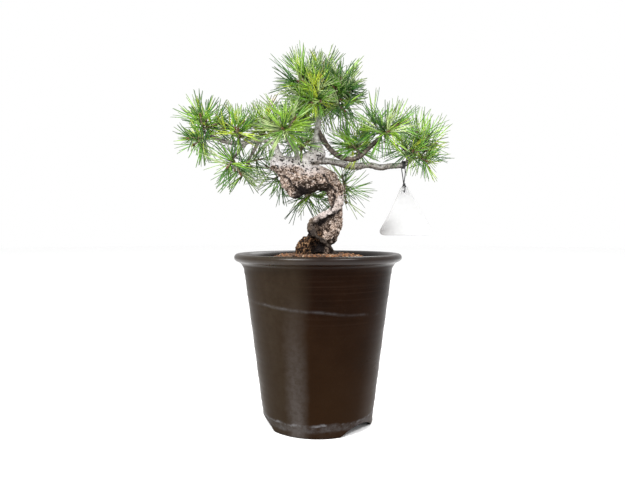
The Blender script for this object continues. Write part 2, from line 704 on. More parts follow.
def fused_limbs(settings, stems):
    """The trunk, boughs and stems as one closed mesh, and a search tree with each face's limb."""
    bm = bmesh.new()
    limb_of_face = []
    for name in ("trunk", *BOUGHS):
        mesh = merged_copy(name)
        bm.from_mesh(mesh)
        bpy.data.meshes.remove(mesh)
        if name != "trunk":
            add_tube(bm, joint_of(name), 12)
        limb_of_face += [LOOKS.index(name)] * (len(bm.faces) - len(limb_of_face))
    for route in stems:
        add_tube(bm, route, 8)
    limb_of_face += [LOOKS.index("stems")] * (len(bm.faces) - len(limb_of_face))
    tree = BVHTree.FromBMesh(bm)
    mesh = bpy.data.meshes.new("limbs")
    bm.to_mesh(mesh)
    bm.free()
    obj = link(bpy.data.objects.new("limbs_draft", mesh))
    fuse = obj.modifiers.new("fuse", "REMESH")
    fuse.mode = "VOXEL"
    fuse.voxel_size = settings.voxel
    soften = obj.modifiers.new("soften", "SMOOTH")
    soften.factor = 0.5
    soften.iterations = 12
    fused = evaluated_copy(obj)
    bpy.data.objects.remove(obj)
    return fused, tree, limb_of_face


def joint_of(name):
    """A short plug that closes the gap between a bough's end and the limb it grows from."""
    mesh = merged_copy(name)
    tip = Vector(LIMB_TIPS[name][0])
    places = [vert.co.copy() for vert in mesh.vertices]
    bpy.data.meshes.remove(mesh)
    far = max(places, key=lambda place: (place - tip).length)
    near = [place for place in places if (place - far).length < 0.0062]
    middle = sum(near, Vector()) / len(near)
    radius = sum((place - middle).length for place in near) / len(near) * 0.72
    surface, _, _, _ = LIMB_SURFACES[name].find_nearest(middle)
    inward = (surface - middle).normalized()
    return [
        (middle - inward * 0.0010, radius),
        (surface - inward * 0.0002, radius * 1.15),
        (surface + inward * 0.0024, radius * 1.45),
    ]


def spread_out(mesh, values, passes):
    """Blurs one number per vertex over the mesh."""
    edges = np.empty(len(mesh.edges) * 2, np.int32)
    mesh.edges.foreach_get("vertices", edges)
    edges = edges.reshape(-1, 2)
    counts = np.bincount(edges.ravel(), minlength=len(values)).astype(float)
    for _ in range(passes):
        total = np.zeros(len(values))
        np.add.at(total, edges[:, 0], values[edges[:, 1]])
        np.add.at(total, edges[:, 1], values[edges[:, 0]])
        values = 0.4 * values + 0.6 * total / np.maximum(counts, 1.0)
    return values


def scatter(point):
    """A number from 0 to 1 that depends on the place alone."""
    return math.sin(point.x * 12.9898 + point.y * 78.233 + point.z * 37.719) * 43758.5453 % 1.0


def ramped(value, low, high):
    """0 below low, 1 above high (or the other way round) and even between them."""
    return min(1.0, max(0.0, (value - low) / (high - low)))


def nearest_on(place, route):
    """Point of a route of straight pieces nearest to a place, and how far along its piece."""
    found = []
    for i, (start, end) in enumerate(zip(route, route[1:])):
        _, t = intersect_point_line(place, start, end)
        t = min(1.0, max(0.0, t))
        point = start.lerp(end, t)
        found.append(((place - point).length, i, t, point))
    return min(found)


def off_strand(place, strand):
    """Distance of a place from a strand's surface, and the nearest point on its middle."""
    away, i, t, point = nearest_on(place, [Vector(row[:3]) for row in strand])
    return away - strand[i][3] - t * (strand[i + 1][3] - strand[i][3]), point


def near_hollow(place, middle, size):
    """How far a place lies inside a ball that is stretched to a size, with a soft edge."""
    return ramped(Vector(a / s for a, s in zip(place - middle, size)).length, 1.15, 0.65)


def trunk_looks(place):
    """Rough, brown, earthy, black and pale shares and the depth of hollows at a place on the trunk."""
    rough = max(0.10, ramped(place.z, 0.264, 0.252))
    if place.z > 0.243 and place.x > -0.024:
        rough = min(rough, 0.45)
    shade = 0.20 * ramped(place.z, 0.272, 0.318)
    if place.x < 0.0045:
        earth = ramped(place.z, 0.190, 0.178)
    else:
        earth = 0.10 * ramped(place.z, 0.205, 0.190) + 0.55 * ramped(place.z, 0.172, 0.158)
    black = 0.0
    depth = 0.0
    pale = 0.0
    if place.z < 0.236 and place.y < 0.002:
        black = 0.92 * near_hollow(place, BURL_SHADOW, BURL_SHADOW_SIZE)
        flat = Vector((place.x, 0.0, place.z))
        for groove in GROOVES:
            off = nearest_on(flat, [Vector(point) for point in groove])[0]
            depth = max(depth, 0.5 * ramped(off, 0.0018, 0.0006))
        black = max(black, 2.0 * depth)
    if place.z < 0.215 and place.y < 0.002:
        off, middle = off_strand(place, PALE_STRAND)
        under = ramped(place.z - middle.z, -0.0014, -0.0034)
        if off < 0.0008:
            earth = 0.0
            shade = ramped(place.x, -0.001, -0.007)
            pale = 0.45 * (1.0 - shade)
            black = max(black, 0.95 * under)
        elif place.z > 0.172:
            width = 0.0016 + 0.0058 * ramped(place.x, 0.018, 0.004)
            cleft = under * ramped(off, width, 0.45 * width)
            black = max(black, cleft)
            depth = max(depth, 0.5 * cleft)
        off, _ = off_strand(place, DARK_ROOT)
        if off < 0.0008 and place.y < -0.0060:
            return 0.20, 1.0, 0.0, 0.70, 0.0, 0.0
        hollow = near_hollow(place, HOLLOW, HOLLOW_SIZE)
        black = max(black, hollow)
        depth = max(depth, hollow)
    return rough, shade, earth, black, depth, pale


def give_relief(mesh, tree, limb_of_face, settings):
    """Moves the surface by lumps, flakes and pits, and keeps them as attributes."""
    count = len(mesh.vertices)
    places = np.empty(count * 3, np.float32)
    normals = np.empty(count * 3, np.float32)
    mesh.vertices.foreach_get("co", places)
    mesh.vertex_normals.foreach_get("vector", normals)
    places = places.reshape(-1, 3)
    normals = normals.reshape(-1, 3)
    looks = np.zeros((count, 6))
    for i in range(count):
        place = Vector(places[i])
        _, _, face, _ = tree.find_nearest(place)
        name = LOOKS[limb_of_face[face]]
        if name == "trunk":
            looks[i] = trunk_looks(place)
            continue
        rough, near, far = LIMB_LOOKS[name]
        share = 0.0
        if name in LIMB_TIPS:
            share = ramped((place - Vector(LIMB_TIPS[name][0])).length, 0.045, 0.0)
        looks[i, :2] = rough, near + (far - near) * share
    rough, shade, earth, black, depth, pale = (
        spread_out(mesh, looks[:, k], 3 if k in (3, 4) else 10) for k in range(6)
    )
    slant = spread_out(mesh, 0.5 + 0.5 * normals[:, 2].astype(float), 10)
    waves = np.array([noise.noise(Vector(place) * 75.0) for place in places])
    heights = places[:, 2] + 0.0050 * waves
    top = np.clip((heights - 0.233) / 0.010, 0.0, 1.0) * np.clip((slant - 0.5 + 0.12 * waves) / 0.15, 0.0, 1.0)
    top *= np.clip((0.010 - places[:, 0]) / 0.012, 0.0, 1.0)
    left_end = np.clip((-0.018 - places[:, 0]) / 0.008, 0.0, 1.0) * (places[:, 2] > 0.205)
    knob = left_end * np.clip((heights - 0.2390) / 0.005, 0.0, 1.0) * np.clip((slant - 0.30) / 0.10, 0.0, 1.0)
    slant = slant + 0.20 * left_end
    neck = np.clip((heights - 0.2435) / 0.003, 0.0, 1.0) * np.clip((places[:, 0] + 0.026) / 0.006, 0.0, 1.0)
    top = np.maximum.reduce((top, neck, knob, pale))
    relief = np.zeros(count)
    pits = np.zeros(count)
    for i in range(count):
        place = Vector(places[i])
        lie = ramped(place.z, 0.215, 0.195)
        grain = Vector((place.x, place.y, place.z * (1.0 - 0.45 * lie)))
        lumps = noise.fractal(place * 150.0, 0.9, 2.0, 2)
        near, cells = noise.voronoi(grain * 500.0 + 1.2 * noise.noise_vector(place * 400.0))
        flake = scatter(cells[0]) - 0.5
        crack = ramped(near[1] - near[0], 0.18, 0.0)
        near, _ = noise.voronoi(place * 125.0 + 0.8 * noise.noise_vector(place * 110.0))
        gully = ramped(near[1] - near[0], 0.17, 0.02) * (1.0 - top[i])
        fine = noise.fractal(place * 1100.0, 0.8, 2.1, 2)
        pit = 0.0
        dots = ((230.0, 0.19, 0.14, 0.12), (430.0, 0.19, 0.16, 0.20))
        for size, least, more, rare in dots:
            holes, spots = noise.voronoi(place * size + 0.35 * noise.noise_vector(place * 420.0))
            chance = scatter(spots[0])
            if chance > rare:
                edge = least + more * chance + 0.05 * top[i]
                pit = max(pit, ramped(holes[0], edge, edge - 0.05))
        pit *= 1.0 - 0.75 * lie
        share = rough[i]
        flat = 1.0 - 0.75 * top[i]
        flaky = 0.6 * lumps + flat * (0.62 * flake - 0.55 * crack + 0.22 * fine) - 0.5 * gully
        smooth = 0.20 * lumps + 0.12 * fine + 0.12 * flake
        value = share * flaky + (1.0 - share) * smooth - 0.7 * pit * share - 3.0 * depth[i]
        relief[i] = share * (0.55 + flat * (0.55 * flake - 0.42 * crack + 0.16 * fine)) + (1.0 - share) * 0.6
        pits[i] = max(pit * min(1.0, share * 2.6), 0.45 * gully * share, black[i])
        places[i] += normals[i] * value * settings.relief
    mesh.vertices.foreach_set("co", places.ravel())
    layers = {
        "relief": relief,
        "pits": pits,
        "rough": rough,
        "shade": shade,
        "earth": earth,
        "slant": slant,
        "top": top,
    }
    for name, values in layers.items():
        layer = mesh.attributes.new(name, "FLOAT", "POINT")
        layer.data.foreach_set("value", np.clip(values, 0.0, 1.0).astype(np.float32))
    mesh.update()


# The foliage


class Space:
    """The space of one mass: a ball round its leading bud, less what is nearer another's bud."""

    margin = 0.0013
    limb_margin = 0.0016

    def __init__(self, name, limbs):
        _, bud, _, self.radius, _ = MASSES[name]
        self.heart = Vector(bud)
        self.others = [Vector(row[1]) for key, row in MASSES.items() if key != name]
        self.limbs = limbs

    def holds(self, point, reach):
        own = (point - self.heart).length_squared
        if own > (self.radius + 0.004) ** 2:
            return False
        for heart in self.others:
            apart = (heart - self.heart).length
            theirs = (point - heart).length_squared
            if (theirs - own) / (2.0 * apart) < self.margin + reach:
                return False
        return True

    def clears_limbs(self, point, reach):
        place, normal, _, distance = self.limbs.find_nearest(point, 0.02)
        if place is None:
            return True
        inside = (point - place).dot(normal) < 0.0
        return not inside and distance > self.limb_margin + reach

    def free(self, start, end, radius, skip=0.0, step=0.0012):
        length = (end - start).length
        count = max(2, math.ceil(length / step))
        for i in range(count + 1):
            t = i / count
            point = start.lerp(end, t)
            reach = radius * (1.0 - 0.8 * t)
            if t * length < skip:
                continue
            if not self.holds(point, reach) or not self.clears_limbs(point, reach):
                return False
        return True


class OpenSpace(Space):
    """The same space for real needles, which may reach in among a neighbour's."""

    margin = -0.0110
    limb_margin = 0.0002

    def holds(self, point, reach):
        if self.heart.z > CROWN_FOOT and abs(point.x - CROWN_MIDDLE) > CROWN_HALF_WIDTH:
            return False
        return super().holds(point, reach)


CROWN_FOOT = 0.3000
CROWN_MIDDLE = -0.0010
CROWN_HALF_WIDTH = 0.0480
SHOOT_LENGTH = 0.0150
BUD_RADIUS = 0.0016
NEEDLE_RISE = 0.14


def stem_of(name):
    """Base, bend and fork of a mass's stem, by the source's rule."""
    limb, bud, _, _, _ = MASSES[name]
    bud = Vector(bud)
    if name in STEM_STARTS:
        base = Vector(STEM_STARTS[name])
        bend = base.lerp(bud, 0.3)
    else:
        tip, way, _ = LIMB_TIPS[limb]
        way = Vector(way).normalized()
        base = Vector(tip) + way * 0.0003
        bend = base + way * 0.0030
    share = max(0.15, 1.0 - SHOOT_LENGTH / max(SHOOT_LENGTH, (bud - bend).length))
    return base, bend, bend.lerp(bud, share), bud


def shoot_ends(fork, bud, count, rng, space, apart=0.011):
    """Ends of the leading shoot and of its side shoots, turned by the golden angle."""
    way = (bud - fork).normalized()
    side, other = across(way)
    ends = [bud]
    turn = rng.uniform(0.0, math.tau)
    for _ in range(count):
        for _ in range(12):
            turn += GOLDEN_ANGLE
            spread = rng.uniform(0.75, 1.15)
            out = math.cos(spread) * way + math.sin(spread) * (math.cos(turn) * side + math.sin(turn) * other)
            end = fork + bend_up(out, NEEDLE_RISE) * SHOOT_LENGTH * rng.uniform(0.9, 1.2)
            gap = min((end - seen).length for seen in ends)
            if gap > apart and space.free(fork, end, BUD_RADIUS, 0.008):
                ends.append(end)
                break
    return ends


NEEDLE_SIDES = 4
NEEDLE_PROFILE = ((0.0, 0.70), (0.18, 0.96), (0.40, 1.0), (0.62, 1.0), (0.84, 0.94), (0.97, 0.72))
NEEDLE_RINGS = len(NEEDLE_PROFILE)


def needle_faces():
    """Faces of one needle: its rings, its closed root and its point."""
    faces = [tuple(reversed(range(NEEDLE_SIDES)))]
    for ring in range(NEEDLE_RINGS - 1):
        for k in range(NEEDLE_SIDES):
            low = ring * NEEDLE_SIDES + k
            next_low = ring * NEEDLE_SIDES + (k + 1) % NEEDLE_SIDES
            faces.append((low, next_low, next_low + NEEDLE_SIDES, low + NEEDLE_SIDES))
    last = (NEEDLE_RINGS - 1) * NEEDLE_SIDES
    for k in range(NEEDLE_SIDES):
        faces.append((last + k, last + (k + 1) % NEEDLE_SIDES, last + NEEDLE_SIDES))
    return faces


NEEDLE_FACES = needle_faces()


def needle_chunk(root, way, bow, length, width):
    """A needle that bows a little and ends in a point, as vertices and faces."""
    side, other = across(way)
    verts = []
    for t, share in NEEDLE_PROFILE:
        middle = root + way * (length * t) + bow * (length * t * t)
        for k in range(NEEDLE_SIDES):
            angle = math.tau * k / NEEDLE_SIDES
            out = math.cos(angle) * side + 0.7 * math.sin(angle) * other
            verts.append(middle + out * (width * 0.5 * share))
    verts.append(root + way * length + bow * length)
    return verts, NEEDLE_FACES


def bundles_on(start, end, rng, space, habit, settings, bins):
    """Bundles of five needles round the outer end of a shoot."""
    axis = (end - start).normalized()
    side, other = across(axis)
    needled = min(0.0135, 0.85 * (end - start).length)
    turn = rng.uniform(0.0, math.tau)
    share_of_bundles, share_of_length, tones = habit
    count = max(4, round(settings.bundles * share_of_bundles))
    usual = settings.length * share_of_length * rng.uniform(0.94, 1.05)
    groups = list(NEEDLE_TONES)
    for i in range(count):
        t = (i + 0.5) / count
        turn += GOLDEN_ANGLE
        lean = math.radians(116.0 - 88.0 * t ** 1.1 + rng.uniform(-11.0, 11.0))
        way = math.cos(lean) * axis + math.sin(lean) * (math.cos(turn) * side + math.sin(turn) * other)
        way = bend_up(way, NEEDLE_RISE)
        root = end - axis * needled * (1.0 - t)
        length = usual * rng.uniform(0.80, 1.12)
        tone = rng.choices(groups, TONE_SHARES[tones])[0]
        spread_side, spread_other = across(way)
        spin = rng.uniform(0.0, math.tau)
        for k in range(5):
            angle = spin + math.tau * k / 5.0
            open_by = rng.uniform(0.05, 0.22) * (1.0 if share_of_bundles > 0.7 else 1.9)
            out = math.cos(angle) * spread_side + math.sin(angle) * spread_other
            needle_way = (way + open_by * out).normalized()
            bow = Vector((rng.gauss(0.0, 0.05), rng.gauss(0.0, 0.05), rng.gauss(0.01, 0.05)))
            own_tone = tone if rng.random() < 0.8 else rng.choices(groups, TONE_SHARES[tones])[0]
            width = settings.width * rng.uniform(0.85, 1.1)
            for share in (1.0, 0.84, 0.68):
                own = length * share * rng.uniform(0.93, 1.05)
                tip = root + needle_way * own + bow * own
                if space.free(root + needle_way * 0.003, tip, 0.0003, 0.0, 0.003):
                    bins[own_tone].append(needle_chunk(root, needle_way, bow, own, width))
                    break


# Operators


class PINE_OT_stage(bpy.types.Operator):
    """Lay the pale floor, set the studio light and the camera at the photograph's view"""

    bl_idname = "pine.stage"
    bl_label = "Stage"

    def execute(self, context):
        bm = bmesh.new()
        bmesh.ops.create_circle(bm, cap_ends=True, segments=96, radius=6.0)
        mesh = bpy.data.meshes.new("floor")
        bm.to_mesh(mesh)
        bm.free()
        floor = NodeTree("pale_floor")
        floor.set("Base Color", (0.97, 0.97, 0.97))
        floor.set("Roughness", floor.ramp(floor.noise(6.0), (0.3, 0.85), (0.7, 0.95)))
        mesh_object("floor", mesh, floor.material)
        world = bpy.data.worlds.new("studio")
        world.use_nodes = True
        world.node_tree.nodes["Background"].inputs["Color"].default_value = (1.0, 1.0, 1.0, 1.0)
        world.node_tree.nodes["Background"].inputs["Strength"].default_value = 1.0
        context.scene.world = world
        for name, place, size, power in (
            ("key", (-0.70, -0.90, 1.35), (0.60, 0.60), 34.0),
            ("side", (0.75, -0.75, 1.25), (0.50, 0.35), 14.0),
            ("back", (0.45, 1.10, 1.30), (0.80, 0.80), 12.0),
        ):
            light = bpy.data.lights.new(name, "AREA")
            light.shape = "RECTANGLE"
            light.size, light.size_y = size
            light.energy = power
            lamp = link(bpy.data.objects.new(name, light))
            lamp.location = place
            aim = Vector((0.0, 0.0, 0.20)) - lamp.location
            lamp.rotation_euler = aim.to_track_quat("-Z", "Y").to_euler()
        camera = bpy.data.cameras.new("camera")
        camera.sensor_width = 36.0
        camera.lens = 36.0 * 520.0 / 625.0
        camera.shift_y = -7.5 / 625.0
        camera.shift_x = -5.5 / 625.0
        camera.clip_start = 0.01
        view = link(bpy.data.objects.new("camera", camera))
        view.location = (0.0, -0.502, 0.1808)
        view.rotation_euler = (math.radians(90.0), 0.0, 0.0)
        context.scene.camera = view
        context.scene.view_settings.view_transform = "Standard"
        return {"FINISHED"}


def pot_profile():
    """Fine turned profile of the pot, (radius, height), from the drain hole round to itself."""
    def wall(height):
        return 0.0595 + (0.0708 - 0.0595) / (0.1448 - 0.0595) * (height - 0.0595)

    outer = [(0.0510, 0.0), (0.0518, 0.0004), (0.0523, 0.0014)]
    steps = 46
    for i in range(steps + 1):
        height = 0.0035 + (0.1448 - 0.0035) * i / steps
        ripple = 0.00016 * math.sin(height * 900.0) + 0.00010 * math.sin(height * 2300.0 + 1.0)
        outer.append((wall(height) + ripple * min(1.0, height / 0.02), height))
    outer += [(0.0716, 0.1470), (0.0728, 0.1488), (0.0734, 0.1500), (0.0750, 0.1513)]
    centre = (0.0763, 0.15585)
    bead = 0.00365
    for i in range(13):
        angle = math.radians(-75.0 + 190.0 * i / 12.0)
        outer.append((centre[0] + bead * math.cos(angle), centre[1] + bead * math.sin(angle)))
    inner = [(0.0722, 0.1582), (0.0702, 0.1553), (0.0676, 0.1500)]
    inner += [(wall(h) - 0.006, h) for h in (0.1448, 0.12, 0.09, 0.06, 0.03, 0.0165)]
    inner += [(wall(0.0135) - 0.008, 0.0135), (0.0085, 0.0135), (0.0085, 0.0070)]
    foot = [(0.0436, 0.0070), (0.0450, 0.0012), (0.0456, 0.0)]
    return outer + inner + foot


class PINE_OT_pot(bpy.types.Operator):
    """Turn the glazed pot with its rolled rim and cut its foot into three"""

    bl_idname = "pine.pot"
    bl_label = "Pot"

    def execute(self, context):
        settings = context.scene.pine_pot
        bm = bmesh.new()
        verts = [bm.verts.new((radius, 0.0, height)) for radius, height in pot_profile()]
        edges = [bm.edges.new((a, b)) for a, b in zip(verts, verts[1:] + verts[:1])]
        bmesh.ops.spin(
            bm,
            geom=verts + edges,
            cent=(0.0, 0.0, 0.0),
            axis=(0.0, 0.0, 1.0),
            angle=math.tau,
            steps=settings.segments,
            use_merge=True,
        )
        bmesh.ops.remove_doubles(bm, verts=bm.verts, dist=0.00001)
        bmesh.ops.recalc_face_normals(bm, faces=bm.faces)
        mesh = bpy.data.meshes.new("pot_glazed")
        bm.to_mesh(mesh)
        bm.free()
        pot = mesh_object("pot_glazed", mesh, glaze_material(settings))
        cutters = []
        width, rise = 0.0440, 0.0082
        radius = (width ** 2 / 4.0 + rise ** 2) / (2.0 * rise)
        for degrees in (-43.0, 77.0, 197.0):
            bm = bmesh.new()
            bmesh.ops.create_cone(
                bm,
                cap_ends=True,
                segments=256,
                radius1=radius,
                radius2=radius,
                depth=0.030,
                matrix=Matrix.Rotation(math.radians(degrees), 4, "Z")
                @ Matrix.Translation((0.0515, 0.0, rise - radius))
                @ Matrix.Rotation(math.radians(90.0), 4, "Y"),
            )
            notch = bpy.data.meshes.new("notch")
            bm.to_mesh(notch)
            bm.free()
            cutter = link(bpy.data.objects.new("notch", notch))
            cutters.append(cutter)
            cut = pot.modifiers.new("notch", "BOOLEAN")
            cut.operation = "DIFFERENCE"
            cut.object = cutter
        shaped = evaluated_copy(pot)
        pot.modifiers.clear()
        pot.data = shaped
        for cutter in cutters:
            bpy.data.objects.remove(cutter)
        pot.data.shade_smooth()
        pot.data.set_sharp_from_angle(angle=math.radians(40.0))
        finish_piece(pot, "glaze", "pot")
        return {"FINISHED"}


def soil_height(place):
    """Height of the domed soil at a place, with its low lumps round the level middle."""
    radius = math.hypot(place.x, place.y)
    if radius < 0.030:
        return 0.1580
    t = (radius - 0.030) / (0.0650 - 0.030)
    lump = noise.noise(Vector((place.x, place.y, 0.0)) / 0.0105)
    return 0.1580 - 0.0105 * min(1.0, t) ** 1.4 + 0.0017 * lump * ramped(radius, 0.030, 0.034)


class PINE_OT_soil(bpy.types.Operator):
    """Heap the granular soil in the pot and scatter loose granules on it"""

    bl_idname = "pine.soil"
    bl_label = "Soil"

    def execute(self, context):
        settings = context.scene.pine_soil
        bm = bmesh.new()
        bmesh.ops.create_circle(bm, cap_ends=False, segments=96, radius=0.0652)
        edges = bm.edges[:]
        for radius in [0.0652 - 0.0012 * i for i in range(1, 54)]:
            made = bmesh.ops.extrude_edge_only(bm, edges=edges)
            verts = [v for v in made["geom"] if isinstance(v, bmesh.types.BMVert)]
            edges = [e for e in made["geom"] if isinstance(e, bmesh.types.BMEdge)]
            scale = radius / (radius + 0.0012)
            bmesh.ops.scale(bm, vec=(scale, scale, 1.0), verts=verts)
        bmesh.ops.contextual_create(bm, geom=edges)
        top = bm.verts[:]
        for vert in top:
            lift = 0.0009 * noise.fractal(vert.co * 260.0, 0.8, 2.0, 3)
            vert.co.z = soil_height(vert.co) - 0.0006 + lift
        rim = [edge for edge in bm.edges if edge.is_boundary]
        made = bmesh.ops.extrude_edge_only(bm, edges=rim)
        verts = [v for v in made["geom"] if isinstance(v, bmesh.types.BMVert)]
        for vert in verts:
            vert.co.z = 0.1300
            vert.co.x *= 0.96
            vert.co.y *= 0.96
        rim = [edge for edge in bm.edges if edge.is_boundary]
        bmesh.ops.contextual_create(bm, geom=rim)
        bmesh.ops.recalc_face_normals(bm, faces=bm.faces)
        mesh = bpy.data.meshes.new("soil_bed")
        bm.to_mesh(mesh)
        bm.free()
        dark = ((0.030, 0.013, 0.006), (0.065, 0.026, 0.011), (0.040, 0.019, 0.011), (0.090, 0.038, 0.016))
        bed = mesh_object("soil_bed", mesh, soil_material("soil_bed", dark))
        finish_piece(bed, "soil", "soil")
        rng = random.Random(4)
        tones = {
            "granules_dark": ((0.030, 0.014, 0.008), (0.065, 0.027, 0.012), (0.045, 0.021, 0.012)),
            "granules_rust": ((0.150, 0.058, 0.020), (0.200, 0.085, 0.030), (0.105, 0.040, 0.016)),
            "granules_pale": ((0.28, 0.19, 0.12), (0.36, 0.27, 0.19), (0.22, 0.145, 0.090)),
        }
        chunks = {name: [] for name in tones}
        stone = bmesh.new()
        bmesh.ops.create_icosphere(stone, subdivisions=1, radius=1.0)
        shape = [vert.co.copy() for vert in stone.verts]
        faces = [tuple(vert.index for vert in face.verts) for face in stone.faces]
        stone.free()
        for _ in range(settings.granules):
            radius = 0.0645 * math.sqrt(rng.random())
            angle = rng.uniform(0.0, math.tau)
            size = rng.uniform(0.0007, 0.0019) * (1.0 if radius > 0.03 else 0.85)
            if radius + size > 0.0648:
                continue
            place = Vector((radius * math.cos(angle), radius * math.sin(angle), 0.0))
            place.z = soil_height(place) + rng.uniform(-0.35, 0.25) * size
            turn = Matrix.Rotation(rng.uniform(0.0, math.tau), 3, Vector((rng.gauss(0, 1), rng.gauss(0, 1), rng.gauss(0, 1))))
            stretch = Vector((rng.uniform(0.75, 1.2), rng.uniform(0.75, 1.2), rng.uniform(0.65, 1.0)))
            verts = [
                place + turn @ Vector(p * s * size * rng.uniform(0.84, 1.12) for p, s in zip(corner, stretch))
                for corner in shape
            ]
            kind = rng.choices(list(chunks), (0.55, 0.36, 0.09))[0]
            chunks[kind].append((verts, faces))
        for name, stones in chunks.items():
            obj = mesh_object(name, joined_mesh(name, stones), soil_material(name, tones[name]))
            finish_piece(obj, "soil")
        return {"FINISHED"}


class PINE_OT_wood(bpy.types.Operator):
    """Fuse the trunk and its boughs and give them the bark's relief"""

    bl_idname = "pine.wood"
    bl_label = "Trunk and Boughs"

    def execute(self, context):
        settings = context.scene.pine_bark
        stems = []
        for name in MASSES:
            base, bend, fork, bud = stem_of(name)
            stems.append([(base - (bend - base) * 0.3, 0.0014), (bend, 0.0011), (fork, 0.0009)])
        mesh, tree, limb_of_face = fused_limbs(settings, stems)
        give_relief(mesh, tree, limb_of_face, settings)
        mesh.shade_smooth()
        wood = mesh_object("trunk_and_boughs", mesh, bark_material(settings))
        finish_piece(wood, "bark", "trunk", *BOUGHS)
        return {"FINISHED"}


class PINE_OT_needles(bpy.types.Operator):
    """Grow the shoots, buds and bundles of needles of every mass of foliage"""

    bl_idname = "pine.needles"
    bl_label = "Foliage"

    def execute(self, context):
        settings = context.scene.pine_needles
        limbs = surface_tree(("pot", "soil", "trunk", "label", "label_tie", *BOUGHS))
        bins = {name: [] for name in NEEDLE_TONES}
        twigs = bmesh.new()
        buds = bmesh.new()
        for name, row in MASSES.items():
            _, _, side_shoots, _, seed = row
            rng = random.Random(seed)
            base, bend, fork, bud = stem_of(name)
            ends = shoot_ends(fork, bud, side_shoots, rng, Space(name, limbs))
            fine = random.Random(seed + 100)
            space = OpenSpace(name, limbs)
            more = shoot_ends(fork, bud, settings.extra_shoots + side_shoots, fine, space, 0.0075)[1:]
            more = [end for end in more if min((end - seen).length for seen in ends) > 0.007]
            ends += more[: settings.extra_shoots]
            for end in ends:
                way = (end - fork).normalized()
                route = [(fork - way * 0.0015, 0.0008), (fork.lerp(end, 0.5), 0.0008), (end, 0.0009)]
                add_tube(twigs, route, 7)
                turn = way.to_track_quat("Z", "Y").to_matrix().to_4x4()
                for lift, size in ((0.0003, 0.0015), (0.0018, 0.0011)):
                    bmesh.ops.create_icosphere(
                        buds,
                        subdivisions=2,
                        radius=1.0,
                        matrix=Matrix.Translation(end + way * lift)
                        @ turn
                        @ Matrix.Diagonal((size * 0.72, size * 0.72, size * 1.35, 1.0)),
                    )
                bundles_on(fork, end, fine, space, HABITS[name], settings, bins)
        for name, colour in NEEDLE_TONES.items():
            mesh = joined_mesh(name, bins[name])
            mesh.shade_smooth()
            count = len(bins[name])
            along = [t for t, _ in NEEDLE_PROFILE for _ in range(NEEDLE_SIDES)] + [1.0]
            chances = np.random.default_rng(7).random(count)
            for label, values in (("along", along * count), ("chance", np.repeat(chances, len(along)))):
                layer = mesh.attributes.new(label, "FLOAT", "POINT")
                layer.data.foreach_set("value", np.asarray(values, np.float32))
            obj = mesh_object(name, mesh, needle_material(name, colour))
            if name == "needles_fresh":
                finish_piece(obj, "needles", *MASSES)
            else:
                finish_piece(obj, "needles")
        for name, bm, colour in (
            ("shoots", twigs, (0.230, 0.185, 0.110)),
            ("buds", buds, (0.160, 0.075, 0.034)),
        ):
            bmesh.ops.recalc_face_normals(bm, faces=bm.faces)
            for vert in bm.verts:
                vert.co += Vector((0.00016,) * 3) * noise.noise(vert.co * 1500.0)
            mesh = bpy.data.meshes.new(name)
            bm.to_mesh(mesh)
            bm.free()
            mesh.shade_smooth()
            material = NodeTree(name)
            grain = material.noise(700.0, 3.0)
            deep = tuple(channel * 0.35 for channel in colour)
            material.set("Base Color", material.ramp(grain, (0.38, deep), (0.60, colour)))
            material.set("Roughness", material.ramp(grain, (0.3, 0.7), (0.7, 0.9)))
            material.bump(grain, 0.4, 0.0004)
            finish_piece(mesh_object(name, mesh, material.material), "bark")
        return {"FINISHED"}


LABEL_TOP = Vector((0.0855, 0.0135, 0.2255))
LABEL_TURN = math.radians(8.0)
LABEL_CORNERS = ((0.0, -0.0045), (-0.02125, -0.0445), (0.02125, -0.0445))
LABEL_CORNER = 0.0045
LABEL_HOLE = (-0.0062, 0.0018)  # height of its middle, radius
LABEL_CURL = 0.0110  # how far the lower left corner curls back
LABEL_CURL_REACH = 0.0310
LABEL_BOW = 0.0015  # how far the sides stand back of the middle
LABEL_SWAY = 0.0036  # how far the lower edge hangs off to the right
TIE_RADIUS = 0.0005
TIE_BOUGH = Vector((0.0846, 0.0141, 0.2464))


def label_outline():
    """Points round the label's rounded triangle, about a millimetre apart."""
    corners = [Vector(corner) for corner in LABEL_CORNERS]
    outline = []
    for i, corner in enumerate(corners):
        onward = corners[(i + 1) % 3] - corner
        out = Vector((onward.y, -onward.x)).normalized()
        before = corner - corners[i - 1]
        start = math.atan2(-before.x, before.y)
        sweep = (math.atan2(out.y, out.x) - start) % math.tau
        for step in range(10):
            angle = start + sweep * step / 9.0
            outline.append(corner + LABEL_CORNER * Vector((math.cos(angle), math.sin(angle))))
        count = round(onward.length / 0.0012)
        outline += [corner + out * LABEL_CORNER + onward * step / count for step in range(1, count)]
    return outline


